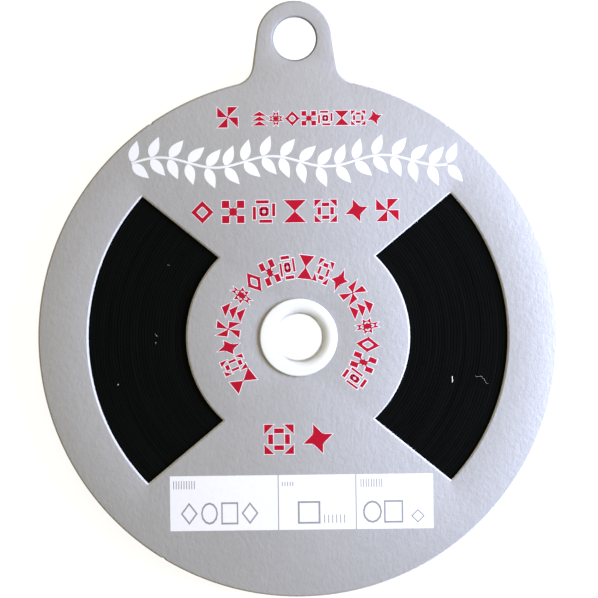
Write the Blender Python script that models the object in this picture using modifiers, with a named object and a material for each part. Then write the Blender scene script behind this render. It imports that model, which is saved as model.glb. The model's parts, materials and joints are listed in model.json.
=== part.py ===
"""A roll of 4 mm bias binding wound on edge between two round boards, held by a plastic hub.

Metres, +Z up. The reel lies on its back with its windows facing up and its hang tab towards +Y.
The origin is on the ground under the middle of the whole outline.
"""
import math

import bmesh
import bpy

# Clearance left between neighbouring pieces.
GAP = 0.0003

# Board: a disc with a hang tab on top of it.
BOARD_THICKNESS = 0.0008
DISC_RADIUS = 0.0550
TAB_RADIUS = 0.0080
TAB_CENTRE_Y = 0.0634
TAB_FLARE = math.radians(8.0)
TAB_FILLET_RADIUS = 0.0046
HANG_HOLE_RADIUS = 0.00465

# Windows: ring sectors whose straight sides lie a little outside the disc's radii, the lower
# ones more than the upper.
WINDOW_INNER_RADIUS = 0.0236
WINDOW_OUTER_RADIUS = 0.0448
WINDOW_SIDE_ANGLE = math.radians(39.4)
WINDOW_UPPER_OFFSET = 0.0028
WINDOW_LOWER_OFFSET = 0.0036

# Hub: a barrel with a flange at each end and a rounded mouth.
FLANGE_RADIUS = 0.0082
FLANGE_THICKNESS = 0.0008
BARREL_RADIUS = 0.0069
THROAT_RADIUS = 0.0052
FRONT_MOUTH_RADIUS = 0.0070
FRONT_MOUTH_DEPTH = 0.0028
BACK_MOUTH_RADIUS = 0.0060
BACK_MOUTH_DEPTH = 0.0010
MOUTH_STEPS = 6

# Binding: wound on edge, so its width is the roll's height.
TAPE_WIDTH = 0.0040
TAPE_LENGTH = 10.0
TURN_THICKNESS = 0.00065
TAPE_END_SLOPE = 0.0005

# The turns don't lie level. Each band of them starts at a radius, lies this far below the full
# width, and dips once more on one side of the roll.
#   start_radius, below, extra_dip, lowest_angle in degrees
WINDING_BANDS = (
    (0.0072, 0.00020, 0.00006, 40),
    (0.0150, 0.00012, 0.00006, 190),
    (0.0215, 0.00018, 0.00008, 300),
    (0.0270, 0.00008, 0.00006, 90),
    (0.0325, 0.00014, 0.00006, 215),
    (0.0357, 0.00002, 0.00012, 230),
    (0.0364, 0.00010, 0.00008, 20),
    (0.0389, 0.00014, 0.00014, 205),
    (0.0396, 0.00006, 0.00010, 130),
    (0.0440, 0.00016, 0.00006, 350),
)

# Roundness
DISC_STEPS = 120
CARD_HOLE_STEPS = 48
HANG_HOLE_STEPS = 32
WINDOW_OUTER_STEPS = 24
WINDOW_INNER_STEPS = 16
TAB_STEPS = 20
FILLET_STEPS = 6
HUB_STEPS = 48
ROLL_STEPS = 80
SHARP_ANGLE = math.radians(30)

# Worked out from the sizes above
CARD_HOLE_RADIUS = BARREL_RADIUS + GAP
ROLL_INNER_RADIUS = BARREL_RADIUS + GAP
ROLL_OUTER_RADIUS = math.sqrt(
    ROLL_INNER_RADIUS**2 + TURN_THICKNESS * TAPE_LENGTH / math.pi
)
BACK_CARD_Z = FLANGE_THICKNESS + GAP
ROLL_Z = BACK_CARD_Z + BOARD_THICKNESS + GAP
FRONT_CARD_Z = ROLL_Z + TAPE_WIDTH + GAP
HUB_HEIGHT = FRONT_CARD_Z + BOARD_THICKNESS + GAP + FLANGE_THICKNESS
TAB_TOP_Y = TAB_CENTRE_Y + TAB_RADIUS
DISC_CENTRE_Y = (DISC_RADIUS - TAB_TOP_Y) / 2


def clear_scene():
    for old in list(bpy.data.objects):
        bpy.data.objects.remove(old, do_unlink=True)


def make_material(name, colour, roughness, metallic=0.0):
    material = bpy.data.materials.new(name)
    material.use_nodes = True
    shader = material.node_tree.nodes["Principled BSDF"]
    shader.inputs["Base Color"].default_value = (*colour, 1.0)
    shader.inputs["Roughness"].default_value = roughness
    shader.inputs["Metallic"].default_value = metallic
    return material


def arc(centre, radius, start, end, steps):
    """Points along an arc, both ends included. Angles are in radians."""
    angles = [start + (end - start) * i / steps for i in range(steps + 1)]
    return [
        (centre[0] + radius * math.cos(a), centre[1] + radius * math.sin(a))
        for a in angles
    ]


def circle(centre, radius, steps):
    return arc(centre, radius, 0.0, math.tau, steps)[:-1]


def tabbed_outline():
    """The front board's rim: tab, straight flared sides, fillets and disc, anticlockwise."""
    side_distance = TAB_CENTRE_Y * math.sin(TAB_FLARE) + TAB_RADIUS
    fillet_reach = DISC_RADIUS + TAB_FILLET_RADIUS
    cosine = (side_distance + TAB_FILLET_RADIUS) / fillet_reach
    meet = TAB_FLARE + math.acos(cosine)
    fillet_x = fillet_reach * math.cos(meet)
    fillet_y = fillet_reach * math.sin(meet)

    tab = arc((0, TAB_CENTRE_Y), TAB_RADIUS, TAB_FLARE, math.pi - TAB_FLARE, TAB_STEPS)
    left = arc(
        (-fillet_x, fillet_y), TAB_FILLET_RADIUS, -TAB_FLARE, -meet, FILLET_STEPS
    )
    rim = arc((0, 0), DISC_RADIUS, math.pi - meet, math.tau + meet, DISC_STEPS)
    right = arc(
        (fillet_x, fillet_y),
        TAB_FILLET_RADIUS,
        math.pi + meet,
        math.pi + TAB_FLARE,
        FILLET_STEPS,
    )
    return tab + left + rim[1:-1] + right


def window_outline(side):
    """A ring sector on the +X side, or on the -X side where side is -1."""

    def reach(offset, radius):
        return WINDOW_SIDE_ANGLE + math.asin(offset / radius)

    points = arc(
        (0, 0),
        WINDOW_OUTER_RADIUS,
        -reach(WINDOW_LOWER_OFFSET, WINDOW_OUTER_RADIUS),
        reach(WINDOW_UPPER_OFFSET, WINDOW_OUTER_RADIUS),
        WINDOW_OUTER_STEPS,
    )
    points += arc(
        (0, 0),
        WINDOW_INNER_RADIUS,
        reach(WINDOW_UPPER_OFFSET, WINDOW_INNER_RADIUS),
        -reach(WINDOW_LOWER_OFFSET, WINDOW_INNER_RADIUS),
        WINDOW_INNER_STEPS,
    )
    return [(side * x, y) for x, y in points]


def flat_board(name, outlines, material, bottom_z, parent, parts):
    """A board cut to the first outline, with the others as holes in it."""
    curve = bpy.data.curves.new(name, "CURVE")
    curve.dimensions = "2D"
    curve.fill_mode = "BOTH"
    curve.extrude = BOARD_THICKNESS / 2
    for outline in outlines:
        spline = curve.splines.new("POLY")
        spline.points.add(len(outline) - 1)
        for point, (x, y) in zip(spline.points, outline):
            point.co = (x, y, 0.0, 1.0)
        spline.use_cyclic_u = True
    curve.materials.append(material)
    board = bpy.data.objects.new(name, curve)
    board.location.z = bottom_z + BOARD_THICKNESS / 2
    board.parent = parent
    parts.objects.link(board)
    return board


def front_card(material, parent, parts):
    outlines = [
        tabbed_outline(),
        window_outline(1),
        window_outline(-1),
        circle((0, 0), CARD_HOLE_RADIUS, CARD_HOLE_STEPS),
        circle((0, TAB_CENTRE_Y), HANG_HOLE_RADIUS, HANG_HOLE_STEPS),
    ]
    return flat_board("front_card", outlines, material, FRONT_CARD_Z, parent, parts)


def back_card(material, parent, parts):
    outlines = [
        circle((0, 0), DISC_RADIUS, DISC_STEPS),
        circle((0, 0), CARD_HOLE_RADIUS, CARD_HOLE_STEPS),
    ]
    return flat_board("back_card", outlines, material, BACK_CARD_Z, parent, parts)


def mouth(lip_radius, lip_z, depth):
    """The hub's rounded mouth, from its throat to its lip. A negative depth faces down."""
    width = lip_radius - THROAT_RADIUS
    quarter = [math.pi / 2 * i / MOUTH_STEPS for i in range(MOUTH_STEPS + 1)]
    return [
        (lip_radius - width * math.cos(a), lip_z - depth * (1 - math.sin(a)))
        for a in quarter
    ]


def hub_profile():
    """Down the outer side, then up the bore, as (radius, z)."""
    top_ledge = HUB_HEIGHT - FLANGE_THICKNESS
    outer = [
        (FLANGE_RADIUS, HUB_HEIGHT),
        (FLANGE_RADIUS, top_ledge),
        (BARREL_RADIUS, top_ledge),
        (BARREL_RADIUS, FLANGE_THICKNESS),
        (FLANGE_RADIUS, FLANGE_THICKNESS),
        (FLANGE_RADIUS, 0.0),
    ]
    back = mouth(BACK_MOUTH_RADIUS, 0.0, -BACK_MOUTH_DEPTH)
    front = mouth(FRONT_MOUTH_RADIUS, HUB_HEIGHT, FRONT_MOUTH_DEPTH)
    return outer + back[::-1] + front


def hub(material, parent, parts):
    points = [(radius, 0.0, z) for radius, z in hub_profile()]
    edges = [(i, (i + 1) % len(points)) for i in range(len(points))]
    mesh = bpy.data.meshes.new("hub")
    mesh.from_pydata(points, edges, [])
    mesh.materials.append(material)
    turned = bpy.data.objects.new("hub", mesh)
    turned.parent = parent
    parts.objects.link(turned)
    screw = turned.modifiers.new("turn", "SCREW")
    screw.axis = "Z"
    screw.angle = math.tau
    screw.steps = HUB_STEPS
    screw.render_steps = HUB_STEPS
    screw.use_merge_vertices = True
    screw.merge_threshold = 0.00001
    return turned


def roll_section(angle, outer_radius):
    """The roll's cut face at one angle, as (radius, z): its stepped top, then its flat bottom."""
    section = []
    for row, (start, below, extra_dip, lowest) in enumerate(WINDING_BANDS):
        last = row == len(WINDING_BANDS) - 1
        end = outer_radius if last else WINDING_BANDS[row + 1][0]
        share = (1 + math.cos(angle - math.radians(lowest))) / 2
        z = TAPE_WIDTH - below - extra_dip * share
        section += [(start, z), (end, z)]
    section += [(outer_radius, 0.0), (ROLL_INNER_RADIUS, 0.0)]
    return section


def tape_roll(material, parent, parts):
    """A loft around the hub, whose outer turn grows by its own thickness and then ends."""
    end_angle = math.tau - TAPE_END_SLOPE / ROLL_OUTER_RADIUS
    built = bmesh.new()
    rings = []
    for step in range(ROLL_STEPS + 1):
        angle = end_angle * step / ROLL_STEPS
        outer_radius = ROLL_OUTER_RADIUS - TURN_THICKNESS * (1 - step / ROLL_STEPS)
        rings.append(
            [
                built.verts.new((r * math.cos(angle), r * math.sin(angle), z))
                for r, z in roll_section(angle, outer_radius)
            ]
        )
    for ring, following in zip(rings, rings[1:] + rings[:1]):
        for i in range(len(ring)):
            j = (i + 1) % len(ring)
            built.faces.new((ring[i], ring[j], following[j], following[i]))
    bmesh.ops.recalc_face_normals(built, faces=built.faces[:])
    mesh = bpy.data.meshes.new("tape_roll")
    built.to_mesh(mesh)
    built.free()
    mesh.shade_smooth()
    mesh.set_sharp_from_angle(angle=SHARP_ANGLE)
    mesh.materials.append(material)
    roll = bpy.data.objects.new("tape_roll", mesh)
    roll.location.z = ROLL_Z
    roll.parent = parent
    parts.objects.link(roll)
    return roll


def build():
    clear_scene()
    parts = bpy.data.collections.new("bias_binding_roll")
    bpy.context.scene.collection.children.link(parts)
    axis = bpy.data.objects.new("reel_axis", None)
    axis.location.y = DISC_CENTRE_Y
    parts.objects.link(axis)

    silver_board = make_material("silver_board", (0.50, 0.50, 0.53), 0.45, 0.3)
    plain_board = make_material("plain_board", (0.62, 0.60, 0.56), 0.85)
    white_plastic = make_material("white_plastic", (0.88, 0.88, 0.86), 0.3)
    black_binding = make_material("black_binding", (0.006, 0.006, 0.006), 0.9)

    back_card(plain_board, axis, parts)
    tape_roll(black_binding, axis, parts)
    front_card(silver_board, axis, parts)
    hub(white_plastic, axis, parts)


build()
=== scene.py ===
import json
import math

import bmesh
import bpy
from mathutils import Matrix, Vector

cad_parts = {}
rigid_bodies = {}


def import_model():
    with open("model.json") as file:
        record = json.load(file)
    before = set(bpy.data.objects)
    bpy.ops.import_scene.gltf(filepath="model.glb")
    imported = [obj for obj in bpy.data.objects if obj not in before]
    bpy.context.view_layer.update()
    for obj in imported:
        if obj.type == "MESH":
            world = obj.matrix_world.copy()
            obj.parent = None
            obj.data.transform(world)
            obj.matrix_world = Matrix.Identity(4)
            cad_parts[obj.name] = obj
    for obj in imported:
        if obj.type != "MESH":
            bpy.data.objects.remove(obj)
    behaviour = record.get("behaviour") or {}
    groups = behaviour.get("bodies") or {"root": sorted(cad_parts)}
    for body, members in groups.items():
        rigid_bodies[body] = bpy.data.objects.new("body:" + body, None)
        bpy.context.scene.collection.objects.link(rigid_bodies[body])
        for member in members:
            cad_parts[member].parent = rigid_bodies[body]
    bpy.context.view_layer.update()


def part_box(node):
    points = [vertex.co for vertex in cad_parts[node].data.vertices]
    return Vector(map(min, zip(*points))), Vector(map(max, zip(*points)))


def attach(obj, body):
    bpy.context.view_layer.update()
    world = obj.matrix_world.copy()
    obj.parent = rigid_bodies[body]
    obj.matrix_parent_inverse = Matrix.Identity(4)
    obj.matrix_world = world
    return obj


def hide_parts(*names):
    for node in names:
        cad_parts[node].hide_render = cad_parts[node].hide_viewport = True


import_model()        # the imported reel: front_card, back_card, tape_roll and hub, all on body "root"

mm = 0.001

# places read from the frame
cardLow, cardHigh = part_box("front_card")
backLow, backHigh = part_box("back_card")
rollLow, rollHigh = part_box("tape_roll")
hubLow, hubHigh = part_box("hub")
axis = Vector(((hubLow[0] + hubHigh[0]) / 2, (hubLow[1] + hubHigh[1]) / 2, 0))  # the hub's axis
discRadius = (backHigh[0] - backLow[0]) / 2
cardFace = cardHigh[2]
print("frame loaded, disc radius", round(discRadius * 1000, 1), "mm")


def addNode(tree, kind, inputs=None, **settings):
    made = tree.nodes.new(kind)
    for name, value in settings.items():
        setattr(made, name, value)
    for name, value in (inputs or {}).items():
        if isinstance(value, bpy.types.NodeSocket):
            tree.links.new(value, made.inputs[name])
        else:
            made.inputs[name].default_value = value
    return made


def calc(tree, operation, a, b=0.0, c=0.0):
    # works in shader trees and in geometry trees
    made = addNode(tree, "ShaderNodeMath", {0: a, 1: b, 2: c}, operation=operation)
    return made.outputs[0]


def emptyTree(name, sockets):
    # a geometry tree with named inputs and one geometry output
    tree = bpy.data.node_groups.new(name, "GeometryNodeTree")
    tree.interface.new_socket("Geometry", in_out="INPUT", socket_type="NodeSocketGeometry")
    for label, kind, value in sockets:
        socket = tree.interface.new_socket(label, in_out="INPUT", socket_type="NodeSocket" + kind)
        if value is not None:
            socket.default_value = value
    tree.interface.new_socket("Geometry", in_out="OUTPUT", socket_type="NodeSocketGeometry")
    return tree


def runTree(source, tree, values, name):
    # the tree on one object, applied to a plain mesh
    modifier = source.modifiers.new(name, "NODES")
    modifier.node_group = tree
    for item in tree.interface.items_tree:
        if item.in_out == "INPUT" and item.name in values:
            modifier[item.identifier] = values[item.name]
    bpy.context.view_layer.update()
    graph = bpy.context.evaluated_depsgraph_get()
    mesh = bpy.data.meshes.new_from_object(source.evaluated_get(graph), depsgraph=graph)
    mesh.name = name
    bpy.data.objects.remove(source, do_unlink=True)
    return mesh


def showPiece(name, mesh, slot, *stoodFor):
    piece = bpy.data.objects.new(name, mesh)
    bpy.context.scene.collection.objects.link(piece)
    if stoodFor:
        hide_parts(*stoodFor)
    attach(piece, "root")
    return piece


def finishMesh(built, name, materials, sharpAngle=35):
    bmesh.ops.recalc_face_normals(built, faces=built.faces[:])
    mesh = bpy.data.meshes.new(name)
    built.to_mesh(mesh)
    built.free()
    mesh.shade_smooth()
    mesh.set_sharp_from_angle(angle=math.radians(sharpAngle))
    for material in materials:
        mesh.materials.append(material)
    return mesh


def arcPoints(centre, radius, start, end, steps):
    angles = [start + (end - start) * i / steps for i in range(steps + 1)]
    return [(centre[0] + radius * math.cos(a), centre[1] + radius * math.sin(a)) for a in angles]


cameraLook = {
    "height": 0.46,         # above the front board
    "span": 0.1270,         # width of the board's plane that fills the frame
    "roll": 0.70,           # degrees, the reel leans anticlockwise
    "aim": (0.00030, 0.00804),   # from the hub's axis
}


def makeCamera(look):
    data = bpy.data.cameras.new("camera")
    data.sensor_width = 36
    data.lens = data.sensor_width * look["height"] / look["span"]
    camera = bpy.data.objects.new("camera", data)
    camera.location = axis + Vector((*look["aim"], cardFace + look["height"]))
    camera.rotation_euler = (0, 0, -math.radians(look["roll"]))
    bpy.context.scene.collection.objects.link(camera)
    bpy.context.scene.camera = camera


makeCamera(cameraLook)
print("camera placed")


def startMaterial(name):
    material = bpy.data.materials.new(name)
    material.use_nodes = True
    tree = material.node_tree
    shader = tree.nodes["Principled BSDF"]
    coords = tree.nodes.new("ShaderNodeTexCoord").outputs["Object"]
    # millimetres from the hub's axis
    place = addNode(tree, "ShaderNodeMapping", {
        "Vector": coords, "Location": -axis * 1000, "Scale": (1000, 1000, 1000)}).outputs[0]
    return material, tree, shader, place


def stretched(tree, place, scale, turn=0.0):
    return addNode(tree, "ShaderNodeMapping", {
        "Vector": place, "Scale": scale, "Rotation": (0, 0, math.radians(turn))}).outputs[0]


def noiseOf(tree, place, scale, detail=3.0, roughness=0.55):
    return addNode(tree, "ShaderNodeTexNoise", {
        "Vector": place, "Scale": scale, "Detail": detail, "Roughness": roughness}).outputs["Fac"]


def spread(tree, value, low, high, newLow, newHigh):
    return addNode(tree, "ShaderNodeMapRange", {
        0: value, 1: low, 2: high, 3: newLow, 4: newHigh}).outputs[0]


def blendColours(tree, factor, first, second):
    made = addNode(tree, "ShaderNodeMix", data_type="RGBA")
    for index, value in ((0, factor), (6, first), (7, second)):
        if isinstance(value, bpy.types.NodeSocket):
            tree.links.new(value, made.inputs[index])
        else:
            made.inputs[index].default_value = value if index == 0 else (*value, 1.0)
    return made.outputs[2]


def bumpOf(tree, height, strength, distance, before=None):
    inputs = {"Height": height, "Strength": strength, "Distance": distance}
    if before is not None:
        inputs["Normal"] = before
    return addNode(tree, "ShaderNodeBump", inputs).outputs[0]


def feed(tree, shader, **sockets):
    for name, value in sockets.items():
        tree.links.new(value, shader.inputs[name.replace("_", " ")])


silverLook = {
    "pale": (0.455, 0.455, 0.459),
    "dark": (0.430, 0.430, 0.435),
    "metal": 0.30,
    "grain": (0.38, 0.54),      # mm, half the coarsest grain across and along the board's fibres
    "grainDepth": 0.084,        # mm
}


def silverBoard(look):
    material, tree, shader, place = startMaterial("silver board")
    across, along = look["grain"]
    grain = noiseOf(tree, stretched(tree, place, (1 / across, 1 / along, 1), 3), 0.5, 4, 0.6)
    fibres = noiseOf(tree, stretched(tree, place, (1.0, 0.4, 1.0), 8), 0.9, 4, 0.6)
    clouds = noiseOf(tree, place, 0.08, 3)
    tone = calc(tree, "MULTIPLY_ADD", grain, 0.5, calc(tree, "MULTIPLY", fibres, 0.3))
    tone = calc(tree, "MULTIPLY_ADD", clouds, 0.2, tone)
    colour = blendColours(tree, spread(tree, tone, 0.38, 0.62, 0, 1), look["dark"], look["pale"])
    feed(tree, shader, Base_Color=colour,
         Roughness=spread(tree, tone, 0.35, 0.65, 0.47, 0.55),
         Normal=bumpOf(tree, grain, 1.0, look["grainDepth"] * mm,
                       bumpOf(tree, fibres, 0.6, 0.02 * mm, bumpOf(tree, clouds, 0.3, 0.4 * mm))))
    shader.inputs["Metallic"].default_value = look["metal"]
    return material


coreLook = {"pale": (0.86, 0.86, 0.87), "dark": (0.68, 0.68, 0.69), "plies": 5.0}
# painted shade: the hang hole's cut edge is given a darker core colour, which stands in for the shade inside
# it
holeShadeLook = {"pale": (0.40, 0.40, 0.40), "dark": (0.32, 0.32, 0.32), "plies": 5.0}


def paperCore(name, look):
    material, tree, shader, place = startMaterial(name)
    plies = noiseOf(tree, stretched(tree, place, (1.2, 1.2, look["plies"])), 1.0, 4, 0.6)
    colour = blendColours(tree, spread(tree, plies, 0.35, 0.65, 0, 1), look["dark"], look["pale"])
    feed(tree, shader, Base_Color=colour, Normal=bumpOf(tree, plies, 0.5, 0.00005))
    shader.inputs["Roughness"].default_value = 0.92
    shader.inputs["Specular IOR Level"].default_value = 0.1
    return material


greyboardLook = {"pale": (0.60, 0.585, 0.55), "dark": (0.45, 0.435, 0.40), "fleck": (0.22, 0.20, 0.18)}


def greyBoard(look):
    material, tree, shader, place = startMaterial("grey board")
    pulp = noiseOf(tree, stretched(tree, place, (1.0, 0.6, 1.0), 35), 1.3, 6, 0.65)
    flecks = noiseOf(tree, stretched(tree, place, (1.4, 0.7, 1.0), -25), 2.4, 2, 0.5)
    colour = blendColours(tree, spread(tree, pulp, 0.3, 0.7, 0, 1), look["dark"], look["pale"])
    colour = blendColours(tree, spread(tree, flecks, 0.68, 0.74, 0, 0.7), colour, look["fleck"])
    feed(tree, shader, Base_Color=colour, Normal=bumpOf(tree, pulp, 0.35, 0.00008))
    shader.inputs["Roughness"].default_value = 0.88
    return material


bindingLook = {
    "pale": (0.0056, 0.0062, 0.0056),
    "dark": (0.0018, 0.0021, 0.0018),
    "thread": 0.30,         # mm; threads come 0.63 of this apart and cross at 45 degrees to the edge
}


def blackBinding(look):
    material, tree, shader, place = startMaterial("black binding")
    cloth = addNode(tree, "ShaderNodeAttribute", attribute_name="alongTape").outputs["Vector"]
    weave = []
    for turn in (45, -45):
        threads = addNode(tree, "ShaderNodeTexWave", {
            "Vector": stretched(tree, cloth, (1 / look["thread"],) * 3, turn),
            "Scale": 0.5, "Distortion": 0.6, "Detail": 1.0}, wave_type="BANDS").outputs["Fac"]
        weave.append(threads)
    cross = calc(tree, "MULTIPLY", weave[0], weave[1])
    fuzz = noiseOf(tree, place, 3.2, 4, 0.7)
    turns = noiseOf(tree, stretched(tree, cloth, (0.05, 0.3, 1.6)), 1.0, 3)
    tone = calc(tree, "ADD", calc(tree, "MULTIPLY", cross, 0.35), calc(tree, "MULTIPLY", fuzz, 0.3))
    tone = calc(tree, "ADD", tone, calc(tree, "MULTIPLY", turns, 0.5))
    colour = blendColours(tree, spread(tree, tone, 0.3, 0.85, 0, 1), look["dark"], look["pale"])
    feed(tree, shader, Base_Color=colour,
         Normal=bumpOf(tree, fuzz, 0.3, 0.00006, bumpOf(tree, cross, 0.5, 0.00006)))
    shader.inputs["Roughness"].default_value = 0.95
    shader.inputs["Specular IOR Level"].default_value = 0.03
    return material


plasticLook = {"pale": (0.86, 0.87, 0.84), "dark": (0.81, 0.82, 0.79)}


def whitePlastic(look):
    material, tree, shader, place = startMaterial("white plastic")
    flow = noiseOf(tree, stretched(tree, place, (0.5, 0.5, 1.4)), 0.6, 2)
    grain = noiseOf(tree, place, 6.0, 3, 0.6)
    feed(tree, shader, Base_Color=blendColours(tree, flow, look["dark"], look["pale"]),
         Roughness=spread(tree, grain, 0.3, 0.7, 0.26, 0.36),
         Normal=bumpOf(tree, grain, 0.08, 0.00002, bumpOf(tree, flow, 0.2, 0.0002)))
    shader.inputs["Subsurface Weight"].default_value = 0.12
    shader.inputs["Subsurface Radius"].default_value = (0.0010, 0.0010, 0.0009)
    return material


def printedInk(name, colour, worn, roughness):
    # ink on board, a touch uneven in colour and in surface
    material, tree, shader, place = startMaterial(name)
    cover = noiseOf(tree, place, 1.1, 4, 0.6)
    grain = noiseOf(tree, place, 5.0, 3, 0.6)
    feed(tree, shader, Base_Color=blendColours(tree, spread(tree, cover, 0.4, 0.75, 0, 1), colour, worn),
         Normal=bumpOf(tree, grain, 0.2, 0.00002))
    shader.inputs["Roughness"].default_value = roughness
    shader.inputs["Specular IOR Level"].default_value = 0.12
    return material


def lintMaterial():
    material, tree, shader, place = startMaterial("lint")
    grain = noiseOf(tree, place, 9.0, 2)
    feed(tree, shader, Base_Color=blendColours(tree, grain, (0.5, 0.5, 0.5), (0.85, 0.85, 0.83)))
    shader.inputs["Roughness"].default_value = 0.9
    return material


silver = silverBoard(silverLook)
core = paperCore("paper core", coreLook)
# painted shade: the darker core colour for the hang hole's cut edge
holeShadeCore = paperCore("hole edge painted shade", holeShadeLook)
grey = greyBoard(greyboardLook)
black = blackBinding(bindingLook)
plastic = whitePlastic(plasticLook)
redInk = printedInk("red ink", (0.47, 0.002, 0.020), (0.40, 0.004, 0.024), 0.6)
whiteInk = printedInk("white ink", (0.90, 0.90, 0.91), (0.86, 0.86, 0.87), 0.5)
greyInk = printedInk("grey ink", (0.30, 0.30, 0.31), (0.36, 0.36, 0.37), 0.5)
lint = lintMaterial()
print("materials made")

boardLook = {
    "tabRadius": 7.88, "tabCentre": 63.4, "tabFlare": 8.0, "fillet": 4.6,
    "hangHole": 4.77, "hubHole": 7.2,
    "windowInner": 23.6, "windowOuter": 44.8, "windowSideAngle": 39.4,
    "windowUpperOffset": 2.8, "windowLowerOffset": 3.6,
    "windowCorner": 0.45,
    "rimSteps": 240,
    # small nicks in the rim: angle in degrees, depth and half width in mm
    "nicks": ((124, 0.26, 0.30), (54, 0.20, 0.25), (46, 0.18, 0.30), (238, 0.22, 0.35), (318, 0.12, 0.25)),
}
# the cut edge, from the printed face down: mm out from the outline, share of the thickness, what shows
cutEdge = (
    (-0.20, 0.00, "face"),
    (-0.12, 0.02, "face"),
    (-0.06, 0.09, "face"),
    (0.06, 0.26, "core"),
    (0.18, 0.55, "core"),
    (0.24, 0.90, "core"),
    (0.19, 1.00, "core"),
)


def rimRadius(angle, look):
    radius = discRadius / mm
    for at, depth, width in look["nicks"]:
        away = (angle - math.radians(at) + math.pi) % math.tau - math.pi
        radius -= depth * math.exp(-((away * radius / width) ** 2))
    return radius


def rimPoints(start, end, look):
    steps = look["rimSteps"]
    angles = [start + (end - start) * i / steps for i in range(steps + 1)]
    for at, depth, width in look["nicks"]:
        centre = math.radians(at)
        if centre < start:
            centre += math.tau
        angles += [centre + k * 0.18 * mm / discRadius for k in range(-5, 6)]
    angles = sorted(a for a in set(angles) if start <= a <= end)
    kept = [a for a, b in zip(angles, angles[1:] + [end + 1]) if b - a > 0.0005]
    return [(rimRadius(a, look) * math.cos(a), rimRadius(a, look) * math.sin(a)) for a in kept]


def tabbedRim(look):
    flare = math.radians(look["tabFlare"])
    disc = discRadius / mm
    sideDistance = look["tabCentre"] * math.sin(flare) + look["tabRadius"]
    reach = disc + look["fillet"]
    meet = flare + math.acos((sideDistance + look["fillet"]) / reach)
    filletX, filletY = reach * math.cos(meet), reach * math.sin(meet)
    tab = arcPoints((0, look["tabCentre"]), look["tabRadius"], flare, math.pi - flare, 40)
    left = arcPoints((-filletX, filletY), look["fillet"], -flare, -meet, 14)
    right = arcPoints((filletX, filletY), look["fillet"], math.pi + meet, math.pi + flare, 14)
    return tab + left + rimPoints(math.pi - meet, math.tau + meet, look)[1:-1] + right


def windowRim(side, look):
    # a ring sector whose straight sides lie a little outside the disc's radii

    def reach(offset, radius):
        return math.radians(look["windowSideAngle"]) + math.asin(offset / radius)

    upper, lower = look["windowUpperOffset"], look["windowLowerOffset"]
    inner, outer = look["windowInner"], look["windowOuter"]
    points = arcPoints((0, 0), outer, -reach(lower, outer), reach(upper, outer), 60)
    points += arcPoints((0, 0), inner, reach(upper, inner), -reach(lower, inner), 36)
    points = [(side * x, y) for x, y in points]
    return points if side > 0 else points[::-1]


def roundCorners(points, size):
    # softens only the sharp corners of an outline
    rounded = []
    for i, point in enumerate(points):
        before, here, after = Vector(points[i - 1]), Vector(point), Vector(points[(i + 1) % len(points)])
        into, out = (here - before), (after - here)
        if into.angle(out) < math.radians(30):
            rounded.append(point)
            continue
        startAt = here - into.normalized() * min(size, into.length * 0.45)
        endAt = here + out.normalized() * min(size, out.length * 0.45)
        for k in range(5):
            t = k / 4
            rounded.append(tuple(startAt * (1 - t) ** 2 + here * 2 * t * (1 - t) + endAt * t * t))
    return rounded


def grown(points, distance):
    # an anticlockwise outline moved outwards by the distance, or inwards if it is negative
    moved = []
    for i, point in enumerate(points):
        before, here, after = Vector(points[i - 1]), Vector(point), Vector(points[(i + 1) % len(points)])
        first, second = (here - before).normalized(), (after - here).normalized()
        along = (first + second).normalized()
        normal = Vector((along.y, -along.x))
        lean = max(0.5, normal.dot(Vector((first.y, -first.x))))
        moved.append(here + normal * distance / lean)
    return moved


def cutBoard(name, rim, holes, holesWithPaintedShade, low, high, faceMaterial, backMaterial):
    # rim and holes are anticlockwise outlines in mm; a hole grows inwards as the board grows outwards
    built = bmesh.new()
    thick = high - low
    topEdges, bottomEdges = [], []
    for points, way in [(rim, 1)] + [(hole, -1) for hole in holes + holesWithPaintedShade]:
        rings = []
        # holes in this list get the painted-shade core colour on their cut edge
        edgeMaterial = 3 if points in holesWithPaintedShade else 1
        for out, share, _ in cutEdge:
            z = high - thick * share
            rings.append([built.verts.new((axis.x + p.x * mm, axis.y + p.y * mm, z))
                          for p in grown(points, out * way)])
        for (upper, lower), (_, _, shows) in zip(zip(rings, rings[1:]), cutEdge[1:]):
            for i in range(len(upper)):
                j = (i + 1) % len(upper)
                face = built.faces.new((upper[i], upper[j], lower[j], lower[i]))
                face.material_index = 0 if shows == "face" else edgeMaterial
        count = len(points)
        topEdges += [built.edges.get((rings[0][i], rings[0][(i + 1) % count])) for i in range(count)]
        bottomEdges += [built.edges.get((rings[-1][i], rings[-1][(i + 1) % count])) for i in range(count)]
    bmesh.ops.triangle_fill(built, use_beauty=True, edges=topEdges, normal=(0, 0, 1))
    old = set(built.faces)
    bmesh.ops.triangle_fill(built, use_beauty=True, edges=bottomEdges, normal=(0, 0, -1))
    for face in set(built.faces) - old:
        face.material_index = 2
    return finishMesh(built, name, [faceMaterial, core, backMaterial, holeShadeCore])


windows = [roundCorners(windowRim(side, boardLook), boardLook["windowCorner"]) for side in (1, -1)]
hubHole = arcPoints((0, 0), boardLook["hubHole"], 0, math.tau, 96)[:-1]
hangHole = arcPoints((0, boardLook["tabCentre"]), boardLook["hangHole"], 0, math.tau, 72)[:-1]
frontMesh = cutBoard("frontBoard", tabbedRim(boardLook), windows + [hubHole], [hangHole],
                     cardLow[2], cardHigh[2], silver, grey)
showPiece("frontBoard", frontMesh, "silver_board", "front_card")
backRim = rimPoints(0, math.tau - 0.001, boardLook)
backMesh = cutBoard("backBoard", backRim, [hubHole], [], backLow[2], backHigh[2], grey, grey)
showPiece("backBoard", backMesh, "plain_board", "back_card")
print("boards cut")

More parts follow.
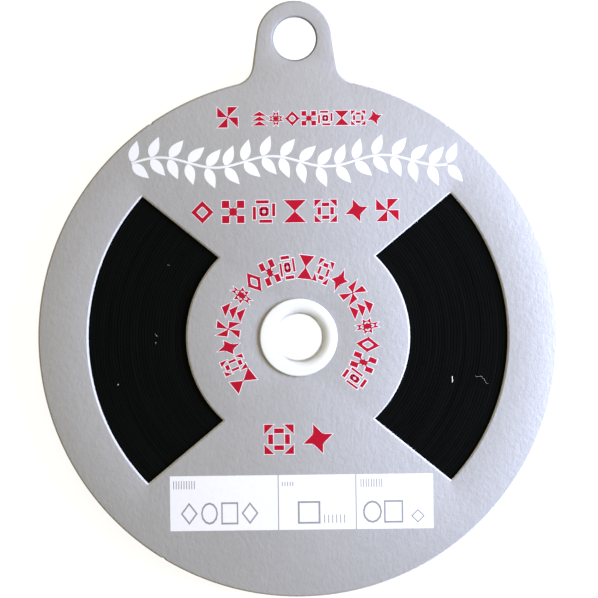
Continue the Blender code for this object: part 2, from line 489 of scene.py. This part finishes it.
hubLook = {"flange": 8.27, "flangeThick": 0.80, "settled": 0.27, "barrel": 6.9, "throat": 5.15, "steps": 144,
           "frontMouth": (7.05, 1.8), "backMouth": (6.0, 1.0), "backBore": 4.98, "dome": (0.34, 0.34),
           "seamShare": 0.45, "seamGroove": (0.14, 0.20),      # how high the halves meet; mm deep and tall
           "shift": (0.12, -0.10)}     # mm that the eyelet sits off the middle of its hole


def hubProfile(look):
    # (radius, z) in mm, down the outer side and back up the bore; the front flange is pressed onto its board
    top = (hubHigh[2] - hubLow[2]) / mm - look["settled"]
    r, ledge, barrel = look["flange"], look["flangeThick"], look["barrel"]
    backLedge = ledge + look["settled"]
    domeWide, domeHigh = look["dome"]

    def bend(cx, cz, radius, start, end, steps=5):
        return arcPoints((cx, cz), radius, math.radians(start), math.radians(end), steps)

    outer = [(r - domeWide + domeWide * x, top - domeHigh + domeHigh * y)
             for x, y in bend(0, 0, 1, 90, 0, 8)]
    outer += [(r - 0.02, top - ledge + 0.20), (r - 0.30, top - ledge)]
    outer += [(barrel + 0.1, top - ledge), (barrel, top - ledge - 0.1),
              (barrel, backLedge + 0.1), (barrel + 0.1, backLedge)]
    outer += bend(r - 0.1, backLedge - 0.1, 0.1, 90, 0, 3) + bend(r - 0.2, 0.2, 0.2, 0, -90, 4)
    throat, backBore = look["throat"], look["backBore"]
    backLip, backDeep = look["backMouth"]
    frontLip, frontDeep = look["frontMouth"]
    quarter = [math.pi / 2 * i / 16 for i in range(17)]
    back = [(backLip - (backLip - backBore) * math.sin(a), backDeep * (1 - math.cos(a))) for a in quarter]
    # the two halves meet at a groove, and the back one is a little narrower
    seam = top * look["seamShare"]
    deep, tall = look["seamGroove"]
    bore = [(backBore, seam - tall - 0.10), (backBore + 0.06, seam - tall - 0.02),
            (throat + deep, seam - tall), (throat + deep, seam), (throat, seam + 0.08)]
    front = [(throat + (frontLip - throat) * (1 - math.cos(a)), top - frontDeep * (1 - math.sin(a)))
             for a in quarter]
    return outer + back + bore + front + [(frontLip + 0.30, top)]


def turned(profile, steps, shift, name, material):
    built = bmesh.new()
    rings = []
    middle = axis + Vector((*shift, 0)) * mm
    for k in range(steps):
        a = math.tau * k / steps
        rings.append([built.verts.new((middle.x + r * mm * math.cos(a), middle.y + r * mm * math.sin(a),
                                       hubLow[2] + z * mm)) for r, z in profile])
    for k, ring in enumerate(rings):
        following = rings[(k + 1) % steps]
        for i in range(len(ring)):
            j = (i + 1) % len(ring)
            built.faces.new((ring[i], ring[j], following[j], following[i]))
    return finishMesh(built, name, [material], 50)


hubMesh = turned(hubProfile(hubLook), hubLook["steps"], hubLook["shift"], "hubEyelet", plastic)
showPiece("hubEyelet", hubMesh, "white_plastic", "hub")
print("hub turned")

windingLook = {
    "Turns": 60, "Steps": 96,
    "Inner radius": 7.2 * mm, "Tape thickness": 0.637 * mm,
    "Radial wander": 0.04 * mm, "Edge wander": 0.09 * mm, "Lean": 0.06,
    "Proud turn": 44.7, "Sunk turn": 49.4, "Proud lift": 0.07 * mm, "Sunk lift": -0.10 * mm,
    "Seed": 4.0,
}


def windingTree():
    tree = emptyTree("windingTree", [
        ("Turns", "Int", 60), ("Steps", "Int", 96), ("Inner radius", "Float", 0.0072),
        ("Outer radius", "Float", 0.046), ("Base", "Float", 0.0), ("Tape width", "Float", 0.004),
        ("Tape thickness", "Float", 0.0006), ("Radial wander", "Float", 0.0001),
        ("Edge wander", "Float", 0.0001), ("Lean", "Float", 0.1), ("Seed", "Float", 0.0),
        ("Proud turn", "Float", 44.0), ("Sunk turn", "Float", 49.0),
        ("Proud lift", "Float", 0.0), ("Sunk lift", "Float", 0.0),
        ("Axis", "Vector", (0.0, 0.0, 0.0)), ("Cloth", "Material", None)])
    given = addNode(tree, "NodeGroupInput").outputs
    index = addNode(tree, "GeometryNodeInputIndex").outputs[0]
    count = calc(tree, "MULTIPLY_ADD", given["Turns"], given["Steps"], 1.0)
    line = addNode(tree, "GeometryNodeMeshLine", {"Count": count}, mode="OFFSET").outputs[0]

    turn = calc(tree, "DIVIDE", index, given["Steps"])
    angle = calc(tree, "MULTIPLY", turn, math.tau)
    cosine, sine = calc(tree, "COSINE", angle), calc(tree, "SINE", angle)
    depth = calc(tree, "SUBTRACT", given["Outer radius"], given["Inner radius"])
    pitch = calc(tree, "DIVIDE", depth, given["Turns"])
    radius = calc(tree, "MULTIPLY_ADD", turn, pitch, given["Inner radius"])
    radius = calc(tree, "SUBTRACT", radius, calc(tree, "MULTIPLY", given["Tape thickness"], 0.5))

    def wander(around, across, shift):
        # smooth round each turn and different from turn to turn
        where = addNode(tree, "ShaderNodeCombineXYZ", {
            "X": calc(tree, "MULTIPLY", cosine, around), "Y": calc(tree, "MULTIPLY", sine, around),
            "Z": calc(tree, "MULTIPLY", turn, across)}).outputs[0]
        made = addNode(tree, "ShaderNodeTexNoise", {
            "Vector": where, "W": calc(tree, "ADD", given["Seed"], shift), "Scale": 1.0, "Detail": 2.0},
            noise_dimensions="4D")
        return calc(tree, "SUBTRACT", made.outputs["Fac"], 0.5)

    radius = calc(tree, "MULTIPLY_ADD", wander(0.9, 0.75, 0.0), given["Radial wander"], radius)
    height = calc(tree, "MULTIPLY", wander(0.7, 0.8, 7.0), given["Edge wander"])
    height = calc(tree, "ADD", height, calc(tree, "MULTIPLY", wander(1.6, 2.3, 3.0), given["Edge wander"]))
    # one turn stands a little proud of its neighbours and one a little low
    for which in ("Proud", "Sunk"):
        away = calc(tree, "ABSOLUTE", calc(tree, "SUBTRACT", turn, given[which + " turn"]))
        near = calc(tree, "LESS_THAN", away, 0.45)
        height = calc(tree, "MULTIPLY_ADD", near, given[which + " lift"], height)
    middle = calc(tree, "MULTIPLY_ADD", given["Tape width"], 0.5, given["Base"])
    place = addNode(tree, "ShaderNodeCombineXYZ", {
        "X": calc(tree, "MULTIPLY", radius, cosine), "Y": calc(tree, "MULTIPLY", radius, sine),
        "Z": calc(tree, "ADD", middle, height)}).outputs[0]
    place = addNode(tree, "ShaderNodeVectorMath", {0: place, 1: given["Axis"]}, operation="ADD").outputs[0]
    spiral = addNode(tree, "GeometryNodeSetPosition", {"Geometry": line, "Position": place}).outputs[0]
    curve = addNode(tree, "GeometryNodeMeshToCurve", {"Mesh": spiral}).outputs[0]
    curve = addNode(tree, "GeometryNodeSetCurveNormal", {"Curve": curve}, mode="Z_UP").outputs[0]
    lean = calc(tree, "MULTIPLY", wander(1.1, 1.4, 11.0), given["Lean"])
    curve = addNode(tree, "GeometryNodeSetCurveTilt", {"Curve": curve, "Tilt": lean}).outputs[0]
    along = addNode(tree, "GeometryNodeSplineParameter").outputs["Length"]
    curve = addNode(tree, "GeometryNodeStoreNamedAttribute", {
        "Geometry": curve, "Name": "along", "Value": along}, data_type="FLOAT", domain="POINT").outputs[0]

    section = addNode(tree, "GeometryNodeCurvePrimitiveQuadrilateral", {
        "Width": given["Tape thickness"], "Height": given["Tape width"]}).outputs[0]
    section = addNode(tree, "GeometryNodeFilletCurve", {
        "Curve": section, "Count": 2, "Radius": calc(tree, "MULTIPLY", given["Tape thickness"], 0.14)},
        mode="POLY").outputs[0]
    across = addNode(tree, "GeometryNodeInputPosition").outputs[0]
    section = addNode(tree, "GeometryNodeStoreNamedAttribute", {
        "Geometry": section, "Name": "across", "Value": across},
        data_type="FLOAT_VECTOR", domain="POINT").outputs[0]
    tape = addNode(tree, "GeometryNodeCurveToMesh", {
        "Curve": curve, "Profile Curve": section, "Fill Caps": True}).outputs[0]
    # for the weave: millimetres along the tape and up its width, then a slow rise along it
    runs = addNode(tree, "GeometryNodeInputNamedAttribute", {"Name": "along"}, data_type="FLOAT").outputs[0]
    rises = addNode(tree, "GeometryNodeInputNamedAttribute", {"Name": "across"},
                    data_type="FLOAT_VECTOR").outputs[0]
    rises = addNode(tree, "ShaderNodeSeparateXYZ", {0: rises}).outputs
    cloth = addNode(tree, "ShaderNodeCombineXYZ", {
        "X": calc(tree, "MULTIPLY", runs, 1000.0), "Y": calc(tree, "MULTIPLY", rises["Y"], 1000.0),
        "Z": calc(tree, "MULTIPLY", runs, 3.7)}).outputs[0]
    tape = addNode(tree, "GeometryNodeStoreNamedAttribute", {
        "Geometry": tape, "Name": "alongTape", "Value": cloth},
        data_type="FLOAT_VECTOR", domain="POINT").outputs[0]
    tape = addNode(tree, "GeometryNodeSetShadeSmooth", {"Geometry": tape}).outputs[0]
    tape = addNode(tree, "GeometryNodeRealizeInstances", {"Geometry": tape}).outputs[0]
    tape = addNode(tree, "GeometryNodeSetMaterial", {
        "Geometry": tape, "Material": given["Cloth"]}).outputs[0]
    addNode(tree, "NodeGroupOutput", {0: tape})
    return tree


def blankObject(name):
    made = bpy.data.objects.new(name, bpy.data.meshes.new(name))
    bpy.context.scene.collection.objects.link(made)
    return made


rollRadius = max(rollHigh[0] - axis.x, axis.x - rollLow[0])
windingValues = dict(windingLook)
windingValues.update({"Outer radius": rollRadius, "Base": rollLow[2], "Tape width": rollHigh[2] - rollLow[2],
                      "Axis": axis, "Cloth": black})
windingMesh = runTree(blankObject("winding"), windingTree(), windingValues, "woundBinding")
showPiece("woundBinding", windingMesh, "black_binding", "tape_roll")
print("binding wound,", len(windingMesh.polygons), "faces")

printLook = {
    "thick": 0.020,         # mm of ink above the board
    "under": 0.13,          # mm of pale ground that shows round each red patch
    "groundThick": 0.010,
    "sunk": 0.010,          # mm that every patch's foot sits inside the board
}
# rows of blocks, in mm from the hub's axis: block set, first block, then the inputs of the tree
redRows = {
    "redRow": ("quilt", 2, {"Count": 7, "Pitch": 6.55, "Size": 4.8, "Across": -0.35, "Up": 26.7}),
    "redArc": ("quilt", 5, {"Count": 18, "Pitch": 3.90, "Size": 3.6, "Stretch": (0.90, 1.40, 1.0),
                            "Bend radius": 14.9, "Start": 218.0}),
    "redPair": ("quilt", 0, {"Count": 2, "Pitch": 8.3, "Size": 6.3, "Across": -0.15, "Up": -21.7}),
    "topRow": ("quilt", 3, {"Count": 8, "Pitch": 3.5, "Size": 3.1, "Across": 4.6, "Up": 46.4}),
    "topMark": ("quilt", 8, {"Count": 1, "Size": 4.4, "Across": -14.4, "Up": 46.8}),
}
labelLook = {
    "box": (-27.6, -40.95, 28.3, -29.3), "dividers": (-4.6, 11.9), "lineWidth": 0.20,
    "fieldThick": 0.012, "lineThick": 0.018, "figureThick": 0.022,
    "rows": {
        "ticksLeft": ("ticks", 0, {"Count": 9, "Pitch": 0.55, "Size": 2.2, "Across": -24.6, "Up": -31.2}),
        "ticksMiddle": ("ticks", 1, {"Count": 5, "Pitch": 0.55, "Size": 2.2, "Across": -2.6, "Up": -31.2}),
        "ticksRight": ("ticks", 0, {"Count": 9, "Pitch": 0.55, "Size": 2.2, "Across": 15.2, "Up": -31.2}),
        "shapesLeft": ("shapes", 0, {"Count": 4, "Pitch": 4.3, "Size": 4.5, "Stretch": (0.80, 1.05, 1.0),
                                     "Across": -17.1, "Up": -37.3}),
        "shapeMiddle": ("shapes", 2, {"Count": 1, "Size": 4.8, "Across": 1.9, "Up": -37.3}),
        "shapesRight": ("shapes", 1, {"Count": 2, "Pitch": 4.5, "Size": 4.8, "Stretch": (0.85, 1.0, 1.0),
                                      "Across": 17.6, "Up": -37.3}),
        "smallMiddle": ("ticks", 0, {"Count": 6, "Pitch": 0.85, "Size": 2.2, "Across": 7.3, "Up": -38.7}),
        "smallRight": ("shapes", 0, {"Count": 1, "Size": 2.9, "Across": 25.0, "Up": -38.3}),
    },
}
# patchwork blocks: cells along a side, whether the patches repeat by quarter turns, and the patches
blockSets = {
    "quilt": {
        "pinwheel": (4, True, [[(2, 2), (4, 4), (2, 4)]]),
        "friendshipStar": (3, True, [[(1, 2), (2, 2), (1, 3)], [(1, 1.5), (1.5, 1.5), (1.5, 2), (1, 2)]]),
        "ohioStar": (6, True, [[(2, 4), (3, 5), (2, 6)], [(4, 4), (4, 6), (3, 5)],
                               [(2, 3), (3, 3), (3, 4), (2, 4)]]),
        "churnDash": (6, True, [[(0, 6), (0, 4), (2, 6)], [(2, 4.2), (4, 4.2), (4, 5.2), (2, 5.2)]]),
        "hourGlass": (4, False, [[(0, 0), (4, 0), (2, 2)], [(2, 2), (4, 4), (0, 4)]]),
        "flyingGeese": (6, False, [[(0, 0.2), (6, 0.2), (3, 2.0)], [(0, 2.2), (6, 2.2), (3, 4.0)],
                                   [(0, 4.2), (6, 4.2), (3, 6.0)]]),
        "ninePatch": (3, True, [[(0, 2), (1, 2), (1, 3), (0, 3)], [(1, 1.5), (1.5, 1.5), (1.5, 2), (1, 2)]]),
        "courtSteps": (7, True, [[(1, 6), (5, 6), (5, 7), (1, 7)],
                                 [(2.5, 4), (4.5, 4), (4.5, 5), (2.5, 5)]]),
        "diamondRing": (6, True, [[(3, 4.6), (3, 6), (0, 3), (1.4, 3)]]),
    },
    "shapes": {
        "ring": (6, True, [[(6, 3), (5.6, 4.5), (4.5, 5.6), (3, 6),
                            (3, 5.45), (4.2, 5.1), (5.1, 4.2), (5.45, 3)]]),
        "square": (6, True, [[(0, 6), (0.5, 5.5), (5.5, 5.5), (6, 6)]]),
        "diamond": (6, True, [[(3, 5.3), (3, 6), (0, 3), (0.7, 3)]]),
    },
    "ticks": {
        "shortTick": (10, False, [[(4.6, 3), (5.4, 3), (5.4, 7), (4.6, 7)]]),
        "longTick": (10, False, [[(4.6, 1), (5.4, 1), (5.4, 9), (4.6, 9)]]),
    },
}


def quarterTurns(points, side):
    # the same patch at each quarter turn of its block
    turned = []
    for _ in range(4):
        turned.append(points)
        points = [(side - y, x) for x, y in points]
    return turned


def prism(built, points, low, high):
    # a flat patch with a little thickness; points run anticlockwise
    bottom = [built.verts.new((p[0] * mm, p[1] * mm, low * mm)) for p in points]
    top = [built.verts.new((p[0] * mm, p[1] * mm, high * mm)) for p in points]
    built.faces.new(top)
    built.faces.new(bottom[::-1])
    for i in range(len(points)):
        j = (i + 1) % len(points)
        built.faces.new((bottom[i], bottom[j], top[j], top[i]))


def inkMesh(name, outlines, thick, ink=None):
    # patches of ink around the origin, with their feet just inside the board
    built = bmesh.new()
    for points in outlines:
        prism(built, points, -printLook["sunk"], thick)
    mesh = bpy.data.meshes.new(name)
    built.to_mesh(mesh)
    built.free()
    if ink:
        mesh.materials.append(ink)
    return mesh


def blockCollection(name, blockSet, size, grow, thick):
    # one object for each block, around its own middle, at its printed size
    blocks = bpy.data.collections.new(name)
    for label, (side, turns, patches) in blockSets[blockSet].items():
        outlines = []
        for patch in patches:
            for points in quarterTurns(patch, side) if turns else [patch]:
                placed = [((x / side - 0.5) * size, (y / side - 0.5) * size) for x, y in points]
                outlines.append(grown(placed, grow) if grow else placed)
        blocks.objects.link(bpy.data.objects.new(label, inkMesh(label, outlines, thick)))
    return blocks


def clearCollection(blocks):
    for block in list(blocks.objects):
        bpy.data.objects.remove(block, do_unlink=True)
    bpy.data.collections.remove(blocks)


def printTree(name, sockets):
    return emptyTree(name, sockets + [
        ("Count", "Int", 1), ("Pitch", "Float", 6.0), ("Across", "Float", 0.0), ("Up", "Float", 0.0),
        ("Board face", "Vector", (0.0, 0.0, 0.0)), ("Blocks", "Collection", None),
        ("Ink", "Material", None)])


def onBoard(tree, given, points, x, y):
    # points put at x and y mm from the axis, on the board's face
    place = addNode(tree, "ShaderNodeCombineXYZ", {
        "X": calc(tree, "MULTIPLY", x, mm), "Y": calc(tree, "MULTIPLY", y, mm)}).outputs[0]
    place = addNode(tree, "ShaderNodeVectorMath", {
        0: place, 1: given["Board face"]}, operation="ADD").outputs[0]
    return addNode(tree, "GeometryNodeSetPosition", {"Geometry": points, "Position": place}).outputs[0]


def alongRow(tree, given, index):
    # x of each place in a centred row
    middle = calc(tree, "MULTIPLY", calc(tree, "SUBTRACT", given["Count"], 1.0), 0.5)
    x = calc(tree, "MULTIPLY", calc(tree, "SUBTRACT", index, middle), given["Pitch"])
    return calc(tree, "ADD", x, given["Across"])


def endTree(tree, given, laid):
    laid = addNode(tree, "GeometryNodeRealizeInstances", {"Geometry": laid}).outputs[0]
    laid = addNode(tree, "GeometryNodeSetMaterial", {"Geometry": laid, "Material": given["Ink"]}).outputs[0]
    addNode(tree, "NodeGroupOutput", {0: laid})
    return tree


def blockTree(bent):
    # blocks from the collection in a row, or round an arc with their feet towards the middle
    tree = printTree("blocksOnArc" if bent else "blocksInRow", [
        ("Bend radius", "Float", 15.0), ("Start", "Float", 90.0), ("Stretch", "Vector", (1.0, 1.0, 1.0)),
        ("First block", "Int", 0), ("Kinds", "Int", 1)])
    given = addNode(tree, "NodeGroupInput").outputs
    index = addNode(tree, "GeometryNodeInputIndex").outputs[0]
    spots = addNode(tree, "GeometryNodeMeshLine", {"Count": given["Count"]}, mode="OFFSET").outputs[0]
    if bent:
        step = calc(tree, "DIVIDE", given["Pitch"], given["Bend radius"])
        start = calc(tree, "RADIANS", given["Start"])
        angle = calc(tree, "SUBTRACT", start, calc(tree, "MULTIPLY", index, step))
        x = calc(tree, "MULTIPLY", calc(tree, "COSINE", angle), given["Bend radius"])
        y = calc(tree, "MULTIPLY", calc(tree, "SINE", angle), given["Bend radius"])
        facing = calc(tree, "SUBTRACT", angle, math.pi / 2)
    else:
        x = alongRow(tree, given, index)
        y = given["Up"]
        facing = calc(tree, "MULTIPLY", index, 0.0)
    spots = onBoard(tree, given, spots, x, y)
    blocks = addNode(tree, "GeometryNodeCollectionInfo", {
        "Collection": given["Blocks"], "Separate Children": True, "Reset Children": True}).outputs[0]
    # a stride of four keeps neighbouring quilt blocks unlike, and ticks alike
    pick = calc(tree, "MULTIPLY_ADD", index, 4.0, given["First block"])
    pick = calc(tree, "FLOORED_MODULO", pick, given["Kinds"])
    laid = addNode(tree, "GeometryNodeInstanceOnPoints", {
        "Points": spots, "Instance": blocks, "Pick Instance": True, "Instance Index": pick,
        "Rotation": addNode(tree, "ShaderNodeCombineXYZ", {"Z": facing}).outputs[0],
        "Scale": given["Stretch"]}).outputs[0]
    return endTree(tree, given, laid)


def printRow(name, row, inks):
    # each ink is one piece: how far it spreads past the outline, its height and its material
    blockSet, first, look = row
    tree = bentTree if "Bend radius" in look else straightTree
    for label, grow, thick, ink in inks:
        blocks = blockCollection(name + label, blockSet, look["Size"], grow, thick)
        values = dict(look)
        values.update({"Board face": printPlane, "First block": first, "Kinds": len(blockSets[blockSet]),
                       "Blocks": blocks, "Ink": ink})
        mesh = runTree(blankObject(name + label), tree, values, name + label)
        clearCollection(blocks)
        showPiece(name + label, mesh, "silver_board")


printPlane = Vector((axis.x, axis.y, cardFace))
straightTree, bentTree = blockTree(False), blockTree(True)
redInks = (("Ground", printLook["under"], printLook["groundThick"], whiteInk),
           ("Ink", 0.0, printLook["thick"], redInk))
for name, row in redRows.items():
    printRow(name, row, redInks)
print("red blocks printed")


def makeLabel(look):
    # a white field in three cells, with ticks and outline shapes on it
    left, low, right, high = look["box"]
    half = look["lineWidth"] / 2
    corners = [(left, low), (right, low), (right, high), (left, high)]
    field = inkMesh("labelField", [corners], look["fieldThick"], whiteInk)
    lines = inkMesh("labelLines", [[(x - half, low), (x + half, low), (x + half, high), (x - half, high)]
                                   for x in look["dividers"]], look["lineThick"], greyInk)
    for name, mesh in (("labelField", field), ("labelLines", lines)):
        mesh.transform(Matrix.Translation(printPlane))
        showPiece(name, mesh, "silver_board")
    for name, row in look["rows"].items():
        printRow(name, row, (("Ink", 0.0, look["figureThick"], greyInk),))


makeLabel(labelLook)
print("label printed")

vineLook = {
    "Count": 18, "Pitch": 3.95, "Across": -1.4, "Up": 37.3, "Rise": 1.15, "Leaves per wave": 6.0,
    "Splay": 58.0, "Stem width": 0.55, "Thickness": 0.018,
    "leaf": (4.7, 2.2),         # mm long and wide
}


def vineTree():
    # a waving stem with a pair of leaves at every place along it
    tree = printTree("vineTree", [
        ("Rise", "Float", 1.0), ("Leaves per wave", "Float", 6.0), ("Splay", "Float", 50.0),
        ("Stem width", "Float", 0.3), ("Thickness", "Float", 0.02)])
    given = addNode(tree, "NodeGroupInput").outputs
    index = addNode(tree, "GeometryNodeInputIndex").outputs[0]
    phase = calc(tree, "DIVIDE", math.tau, given["Leaves per wave"])
    finer = 6.0

    def wave(places, at):
        line = addNode(tree, "GeometryNodeMeshLine", {"Count": places}, mode="OFFSET").outputs[0]
        swing = calc(tree, "SINE", calc(tree, "MULTIPLY", at, phase))
        y = calc(tree, "MULTIPLY_ADD", swing, given["Rise"], given["Up"])
        return onBoard(tree, given, line, alongRow(tree, given, at), y)

    stemPlaces = calc(tree, "MULTIPLY_ADD", calc(tree, "SUBTRACT", given["Count"], 1.0), finer, 1.0)
    stem = wave(stemPlaces, calc(tree, "DIVIDE", index, finer))
    stem = addNode(tree, "GeometryNodeMeshToCurve", {"Mesh": stem}).outputs[0]
    stem = addNode(tree, "GeometryNodeSetCurveNormal", {"Curve": stem}, mode="Z_UP").outputs[0]
    section = addNode(tree, "GeometryNodeCurvePrimitiveQuadrilateral", {
        "Width": calc(tree, "MULTIPLY", given["Stem width"], mm),
        "Height": calc(tree, "MULTIPLY", given["Thickness"], 2 * mm)}).outputs[0]
    stem = addNode(tree, "GeometryNodeCurveToMesh", {
        "Curve": stem, "Profile Curve": section, "Fill Caps": True}).outputs[0]

    spots = wave(given["Count"], index)
    slope = calc(tree, "MULTIPLY", calc(tree, "COSINE", calc(tree, "MULTIPLY", index, phase)), given["Rise"])
    slope = calc(tree, "DIVIDE", calc(tree, "MULTIPLY", slope, phase), given["Pitch"])
    heading = calc(tree, "ARCTANGENT", slope)
    join = addNode(tree, "GeometryNodeJoinGeometry")
    tree.links.new(stem, join.inputs[0])
    leaf = addNode(tree, "GeometryNodeCollectionInfo", {"Collection": given["Blocks"]}).outputs[0]
    for side in (1, -1):
        turn = calc(tree, "MULTIPLY_ADD", calc(tree, "RADIANS", given["Splay"]), float(side), heading)
        leaves = addNode(tree, "GeometryNodeInstanceOnPoints", {
            "Points": spots, "Instance": leaf,
            "Rotation": addNode(tree, "ShaderNodeCombineXYZ", {"Z": turn}).outputs[0]}).outputs[0]
        tree.links.new(leaves, join.inputs[0])
    return endTree(tree, given, join.outputs[0])


def leafOutline(length, width, steps=8):
    # pointed at both ends and fullest two fifths of the way along
    along = [i / steps for i in range(steps + 1)]
    half = [width / 2 * math.sin(math.pi * t ** 0.75) for t in along]
    lower = [(0.25 + length * t, -h) for t, h in zip(along, half)]
    upper = [(0.25 + length * t, h) for t, h in zip(along, half)][1:-1]
    return lower + upper[::-1]


def makeVine(look):
    leaves = bpy.data.collections.new("leaves")
    leafMesh = inkMesh("leaf", [leafOutline(*look["leaf"])], look["Thickness"])
    leaves.objects.link(bpy.data.objects.new("leaf", leafMesh))
    values = dict(look)
    values.update({"Board face": printPlane, "Blocks": leaves, "Ink": whiteInk})
    mesh = runTree(blankObject("whiteVine"), vineTree(), values, "whiteVine")
    clearCollection(leaves)
    showPiece("whiteVine", mesh, "silver_board")


makeVine(vineLook)
print("white vine printed")

lintLook = (
    # mm from the axis, length, direction in degrees, bend, half width
    (32.7, -9.45, 1.4, 80, 0.10, 0.14),
    (38.4, -8.9, 1.5, -35, 0.35, 0.030),
    (39.7, -9.9, 1.7, -20, -0.40, 0.025),
    (-38.4, -9.7, 0.4, 20, 0.05, 0.07),
    (-30.2, 0.7, 0.8, 95, 0.20, 0.030),
    (-30.3, -1.0, 0.5, 60, 0.08, 0.030),
    (-27.4, 15.6, 0.4, 130, 0.10, 0.040),
    (-31.2, -17.5, 0.5, 15, 0.12, 0.035),
    (25.7, 24.3, 0.4, 60, 0.10, 0.040),
)


def lintMesh(fibres, height):
    # short bent fibres that lie on the binding
    built = bmesh.new()
    sides, steps = 6, 8
    for x, y, length, direction, bend, half in fibres:
        turn = Matrix.Rotation(math.radians(direction), 3, "Z")
        rings = []
        for i in range(steps + 1):
            t = i / steps - 0.5
            middle = Vector((x, y, 0)) + turn @ Vector((t * length, bend * math.sin(t * 5.0), 0))
            thin = half * (1 - (2 * t) ** 4 * 0.7)
            ring = []
            for k in range(sides):
                a = math.tau * k / sides
                at = middle + turn @ Vector((0, thin * math.cos(a), half + thin * math.sin(a)))
                ring.append(built.verts.new((axis.x + at.x * mm, axis.y + at.y * mm, height + at.z * mm)))
            rings.append(ring)
        for first, second in zip(rings, rings[1:]):
            for k in range(sides):
                j = (k + 1) % sides
                built.faces.new((first[k], second[k], second[j], first[j]))
        built.faces.new(rings[0])
        built.faces.new(rings[-1][::-1])
    return finishMesh(built, "lintFibres", [lint], 60)


showPiece("lintFibres", lintMesh(lintLook, rollHigh[2] + 0.02 * mm), "black_binding")
print("lint laid on the binding")

studioLook = {
    "sky": (1.0, 0.875, 0.54), "skyStrength": 0.585, "horizon": 0.06,
    "lights": (
        # name, place from the hub's axis, size, power, colour
        ("key", (0.210, 0.016, 0.165), 0.16, 1.40, (0.640, 0.722, 1.0)),
        ("top", (0.010, 0.200, 0.30), 0.20, 0.14, (1.0, 0.90, 0.75)),
    ),
    "floor": (0.30, 0.30, 0.30), "floorGlow": 0.90,
}


def softSky(look):
    # brightest overhead and dim towards the horizon, so upright edges fall into shade
    world = bpy.data.worlds.new("soft sky")
    world.use_nodes = True
    tree = world.node_tree
    upward = addNode(tree, "ShaderNodeTexCoord").outputs["Generated"]
    upward = addNode(tree, "ShaderNodeSeparateXYZ", {0: upward}).outputs["Z"]
    rise = spread(tree, upward, -0.05, 1.0, look["horizon"], 1.0)
    background = tree.nodes["Background"]
    background.inputs["Color"].default_value = (*look["sky"], 1)
    tree.links.new(calc(tree, "MULTIPLY", rise, look["skyStrength"]), background.inputs["Strength"])
    bpy.context.scene.world = world


def areaLight(name, at, size, power, colour):
    data = bpy.data.lights.new(name, "AREA")
    data.size = size
    data.energy = power
    data.color = colour
    light = bpy.data.objects.new(name, data)
    light.location = axis + Vector(at)
    light.rotation_mode = "QUATERNION"
    light.rotation_quaternion = (-Vector(at)).to_track_quat("-Z", "Y")
    bpy.context.scene.collection.objects.link(light)


def makeFloor(look):
    built = bmesh.new()
    bmesh.ops.create_grid(built, x_segments=2, y_segments=2, size=1.5)
    mesh = bpy.data.meshes.new("floor")
    built.to_mesh(mesh)
    built.free()
    mesh.transform(Matrix.Translation((0, 0, hubLow[2] - 0.05 * mm)))
    material, tree, shader, place = startMaterial("floor")
    mottle = noiseOf(tree, place, 0.02, 2)
    dimmer = tuple(c * 0.99 for c in look["floor"])
    feed(tree, shader, Base_Color=blendColours(tree, mottle, look["floor"], dimmer))
    shader.inputs["Roughness"].default_value = 0.8
    shader.inputs["Emission Color"].default_value = (1, 1, 1, 1)
    shader.inputs["Emission Strength"].default_value = look["floorGlow"]
    mesh.materials.append(material)
    floor = bpy.data.objects.new("floor", mesh)
    bpy.context.scene.collection.objects.link(floor)
    floor.visible_diffuse = False       # its glow keeps out of the reel's edges
    floor.visible_glossy = False


def makeStudio(look):
    bpy.context.scene.view_settings.view_transform = "Standard"
    softSky(look)
    for light in look["lights"]:
        areaLight(*light)
    makeFloor(look)


makeStudio(studioLook)
print("studio lit")
